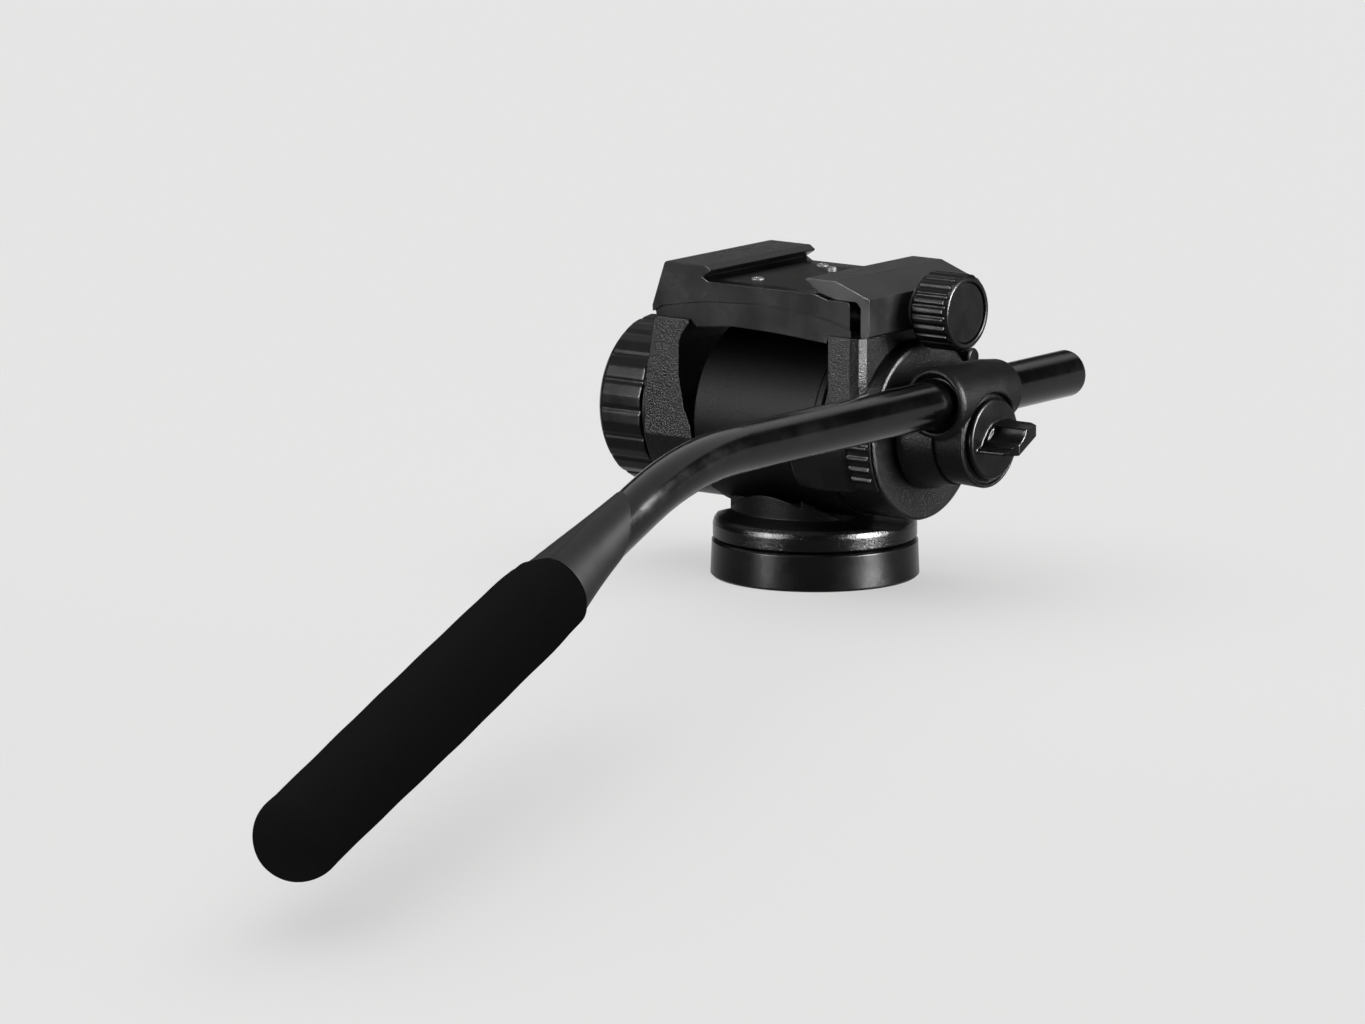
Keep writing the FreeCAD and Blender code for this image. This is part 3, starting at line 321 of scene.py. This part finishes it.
def lathe(name, rings, swell):
    """A closed turned piece. Rings are (radius, height), and swell adds to them."""
    shape = bmesh.new()
    loops = []
    for radius, height in rings:
        if radius < 1e-6:
            loops.append([shape.verts.new((0, 0, height))] * grip_segments)
            continue
        loop = []
        for n in range(grip_segments):
            angle = 2 * math.pi * n / grip_segments
            out = radius + swell(angle, height, radius)
            loop.append(shape.verts.new((out * math.cos(angle), out * math.sin(angle), height)))
        loops.append(loop)
    for low, high in zip(loops, loops[1:]):
        for n in range(grip_segments):
            m = (n + 1) % grip_segments
            corners = [low[n], low[m], high[m], high[n]]
            unique = [v for k, v in enumerate(corners) if v not in corners[:k]]
            shape.faces.new(unique)
    shape.faces.new(loops[0][::-1])
    return placed_mesh(name, shape)


def finish_piece(piece, material, body, slot, *replaced):
    """Gives a piece its finish, hangs it on the body it moves with, and hides the solids it
    replaces.
    """
    piece.data.materials.append(material)
    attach(piece, body)
    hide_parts(*replaced)


def eased(share):
    """A share from 0 to 1 that starts and stops gently."""
    return share * share * (3 - 2 * share)


def foam_skin(angle, height, radius):
    """Low waves in the foam's skin, and the flat side of its rim."""
    wave = math.sin(3 * angle + height * 0.11) * math.sin(height * 0.23 + 1.3)
    skin = skin_waves * wave + skin_ripples * math.sin(5 * angle - height * 0.31)
    towards_flat = math.cos(angle - flat_side)
    fade = max(0.0, 1 - (height - grip_at) / flat_fade)
    if towards_flat > 0.5 and radius > mouth_r + 0.1 and fade > 0:
        chord = (flat_foot + flat_rise) / towards_flat
        skin += min(0.0, chord - radius) * eased(fade)
    return skin


rings = [
    (mouth_r, grip_at + mouth_deep),
    (mouth_r, grip_at + mouth_deep - rim_round),
    (mouth_lip_r, grip_at),
]
for k in range(7):
    turn = math.radians(15 * k)
    height = grip_at + mouth_deep - rim_round * math.cos(turn)
    rings.append((rim_r + rim_round * math.sin(turn), height))
dome_at = grip_end - grip_r
body_length = dome_at - grip_at - 2 * body_from
for k in range(1, 41):
    along = k / 40
    radius = grip_r - pinch * (1 - min(1, along * 9)) ** 2
    radius -= crown * math.cos(2 * math.pi * along) * min(1, along * 6)
    rings.append((radius - skin_inset, grip_at + body_from + body_length * along))
for k in range(19):
    turn = math.radians(5 * k)
    rings.append((dome_r * math.cos(turn), dome_at + dome_r * math.sin(turn)))
grip = lathe("grip_foam", rings, foam_skin)
finish_piece(grip, foam, "bar", "foam", "foam_grip")

# ---------------------------------------------------------------------------
# Grip sleeve: a moulded transition from the tube to the foam. Its mouth is cut
# on a slant, and a flat with a shallow valley runs up its side to the tip.
sleeve_segments = 120
sleeve_steps = 36
under_foam = 0.6
mouth_side = math.radians(120)
mouth_middle = 30.0
mouth_slant = 8.0
foot_r = 10.4
taper = 3.3
waist = 0.25
bore_r = 6.9
thinnest_r = 6.98
shell_inset = 0.04
flat_tip = 7.55
valley_deep = 0.45
valley_aside = 0.25
valley_half = 0.3
valley_fade = 1.4


def sleeve_row(along, inner):
    """One ring of the sleeve, from its foot at 0 to its slanted mouth at 1."""
    row = []
    for n in range(sleeve_segments):
        angle = 2 * math.pi * n / sleeve_segments
        aside = angle - flat_side
        climb = along * (mouth_middle + mouth_slant * math.cos(angle - mouth_side))
        radius = foot_r - taper * along - waist * math.sin(math.pi * along)
        if math.cos(aside) > 0.3:
            reach = climb / (mouth_middle + mouth_slant)
            wide = math.atan2(math.sin(aside), math.cos(aside))
            valley = max(0.0, 1 - abs(wide + valley_aside) / valley_half)
            valley *= valley_deep * max(0.0, 1 - reach * valley_fade)
            chord = (flat_foot + (flat_tip - flat_foot) * reach) / math.cos(aside)
            radius = min(radius, chord - valley)
        radius = bore_r if inner else max(radius - shell_inset, thinnest_r)
        height = grip_at - under_foam - climb
        row.append((radius * math.cos(angle), radius * math.sin(angle), height))
    return row


rows = [sleeve_row(k / sleeve_steps, False) for k in range(sleeve_steps + 1)]
rows += [sleeve_row(k / sleeve_steps, True) for k in range(sleeve_steps, -1, -1)]
shape = bmesh.new()
loops = [[shape.verts.new(corner) for corner in row] for row in rows]
for low, high in zip(loops, loops[1:] + loops[:1]):
    for n in range(sleeve_segments):
        m = (n + 1) % sleeve_segments
        shape.faces.new((low[n], low[m], high[m], high[n]))
sleeve = placed_mesh("sleeve_shell", shape)
bpy.context.view_layer.objects.active = sleeve
sleeve.select_set(True)
bpy.ops.object.shade_smooth_by_angle(angle=math.radians(25))
sleeve.select_set(False)
finish_piece(sleeve, satin_sleeve, "bar", "black_plastic", "grip_sleeve")

# ---------------------------------------------------------------------------
# Clamp, wing knob, lock lever, jaw knob and drag knob: castings and mouldings
# whose walls run into each other with soft fillets, worked from the sharp
# solids. Cells, places and radii here are in millimetres.
weld = 0.0005
barrel_axis = Vector((53.0, 0, 57.3)) * MM
barrel_r = 10.7
taper_from = 6
taper_over = 10.9
taper_depth = 0.075
taper_fade = 2


def softened(node, name, cell, passes, material, body, slot, shaping=None):
    """A copy of a solid with its edges eased and its inner corners filled."""
    mesh = nodes[node].data.copy()
    piece = bpy.data.objects.new(name, mesh)
    bpy.context.scene.collection.objects.link(piece)
    mesh.materials.clear()
    shape = bmesh.new()
    shape.from_mesh(mesh)
    bmesh.ops.remove_doubles(shape, verts=shape.verts, dist=weld * MM)
    shape.to_mesh(mesh)
    shape.free()
    bpy.context.view_layer.objects.active = piece
    piece.select_set(True)
    grid = piece.modifiers.new("grid", "REMESH")
    grid.mode = "VOXEL"
    grid.voxel_size = cell * MM
    grid.use_smooth_shade = True
    ease = piece.modifiers.new("ease", "SMOOTH")
    ease.factor = 0.5
    ease.iterations = passes
    bpy.ops.object.modifier_apply(modifier="grid")
    bpy.ops.object.modifier_apply(modifier="ease")
    piece.select_set(False)
    if shaping:
        for corner in piece.data.vertices:
            corner.co = shaping(corner.co)
    finish_piece(piece, material, body, slot, node)


def tapered(place):
    """Draws the barrel's back end in towards the handle's tube."""
    out = place - barrel_axis
    out.y = 0
    share = eased(min(1.0, max(0.0, (place.y / MM - taper_from) / taper_over)))
    if out.length > barrel_r * MM:
        share *= max(0.0, 1 - (out.length / MM - barrel_r) / taper_fade)
    return place - out * taper_depth * share


softened("bar_clamp", "clamp_casting", 0.34, 9, clamp_paint_with_painted_light, "clamp", "black_paint", tapered)
softened("wing_knob", "wing_moulding", 0.22, 5, plastic, "wing", "black_plastic")
softened("lock_lever", "lever_moulding", 0.25, 3, plastic, "tilt_lock", "black_plastic")
softened("jaw_knob", "jaw_knob_moulding", 0.20, 4, plastic, "jaw_turn", "black_plastic")
softened("drag_knob", "drag_knob_moulding", 0.36, 3, plastic, "drag", "black_plastic")

# ---------------------------------------------------------------------------
# Stage: a pale paper that is level under the base, falls gently away on the
# operator's side, below the hanging handle, and rises behind the head.
span = 8.0
drop = 0.060
fall_from = -0.40
fall_to = -0.08
fall_steps = 32
wall_at = 3.2
wall_round = 0.6
wall_steps = 16
paper_white = (0.80, 0.80, 0.797)
glow_white = (0.79, 0.79, 0.787)
glow_share = 0.62
rows = [(-span, -drop)]
for step in range(fall_steps + 1):
    along = step / fall_steps
    rows.append((fall_from + (fall_to - fall_from) * along, -drop * (1 - eased(along))))
for step in range(wall_steps + 1):
    bend = math.radians(90 * step / wall_steps)
    rows.append((wall_at + wall_round * math.sin(bend), wall_round * (1 - math.cos(bend))))
shape = bmesh.new()
edges = [[shape.verts.new((x, y, z)) for x in (-span, span)] for y, z in rows]
for low, high in zip(edges, edges[1:]):
    face = shape.faces.new((low[0], low[1], high[1], high[0]))
    face.smooth = True
floor_mesh = bpy.data.meshes.new("floor")
shape.to_mesh(floor_mesh)
shape.free()
floor = bpy.data.objects.new("floor", floor_mesh)
bpy.context.scene.collection.objects.link(floor)

# The camera and the reflections see a part of the paper as an even glow.
paper, paper_shader = new_material("floor_paper", paper_white, rough=1.0, specular=0.0)
glow = add(paper, "Emission", Color=(*glow_white, 1), Strength=1.0)
seen = add(paper, "LightPath")
either = paper.node_tree.nodes.new("ShaderNodeMath")
either.operation = "MAXIMUM"
link(paper, seen.outputs["Is Camera Ray"], either.inputs[0])
link(paper, seen.outputs["Is Glossy Ray"], either.inputs[1])
both = add(paper, "MixShader")
share = ramp(paper, either.outputs[0], (0, 1), (0, glow_share))
link(paper, share, both.inputs["Fac"])
link(paper, paper_shader.outputs["BSDF"], both.inputs[1])
link(paper, glow.outputs["Emission"], both.inputs[2])
surface = paper.node_tree.nodes["Material Output"].inputs["Surface"]
link(paper, both.outputs["Shader"], surface)
floor_mesh.materials.append(paper)

# ---------------------------------------------------------------------------
# Light: a broad overhead light that falls evenly on the floor, and one tall
# softbox on either side of the camera for the long soft reflections.
box_distance = 2.2
box_height = 0.78
world = bpy.data.worlds.new("studio")
bpy.context.scene.world = world
world.use_nodes = True
world.node_tree.nodes["Background"].inputs["Color"].default_value = (1, 1, 1, 1)
world.node_tree.nodes["Background"].inputs["Strength"].default_value = 0.05


def lamp(name, kind, place, aim, energy):
    """A light at a place, turned towards what it aims at."""
    light = bpy.data.lights.new(name, kind)
    light.energy = energy
    holder = bpy.data.objects.new(name, light)
    bpy.context.scene.collection.objects.link(holder)
    holder.location = place
    towards = Vector(aim) - Vector(place)
    holder.rotation_euler = towards.to_track_quat("-Z", "Y").to_euler()
    return holder


overhead = lamp("overhead", "SUN", (-0.3, 0.1, 2.0), (0, 0, 0), 2.9)
overhead.data.angle = math.radians(106)
towards_camera = math.atan2(back.y, back.x)
for name, turn, width, height, power in (
    ("left_box", -57, 0.45, 1.5, 470),
    ("right_box", 64, 0.7, 1.5, 1800),
):
    angle = towards_camera + math.radians(turn)
    spot = (math.cos(angle) * box_distance, math.sin(angle) * box_distance, box_height)
    box = lamp(name, "AREA", spot, (0, 0, 0.3), power)
    box.visible_diffuse = False
    box.data.shape = "RECTANGLE"
    box.data.size = width
    box.data.size_y = height
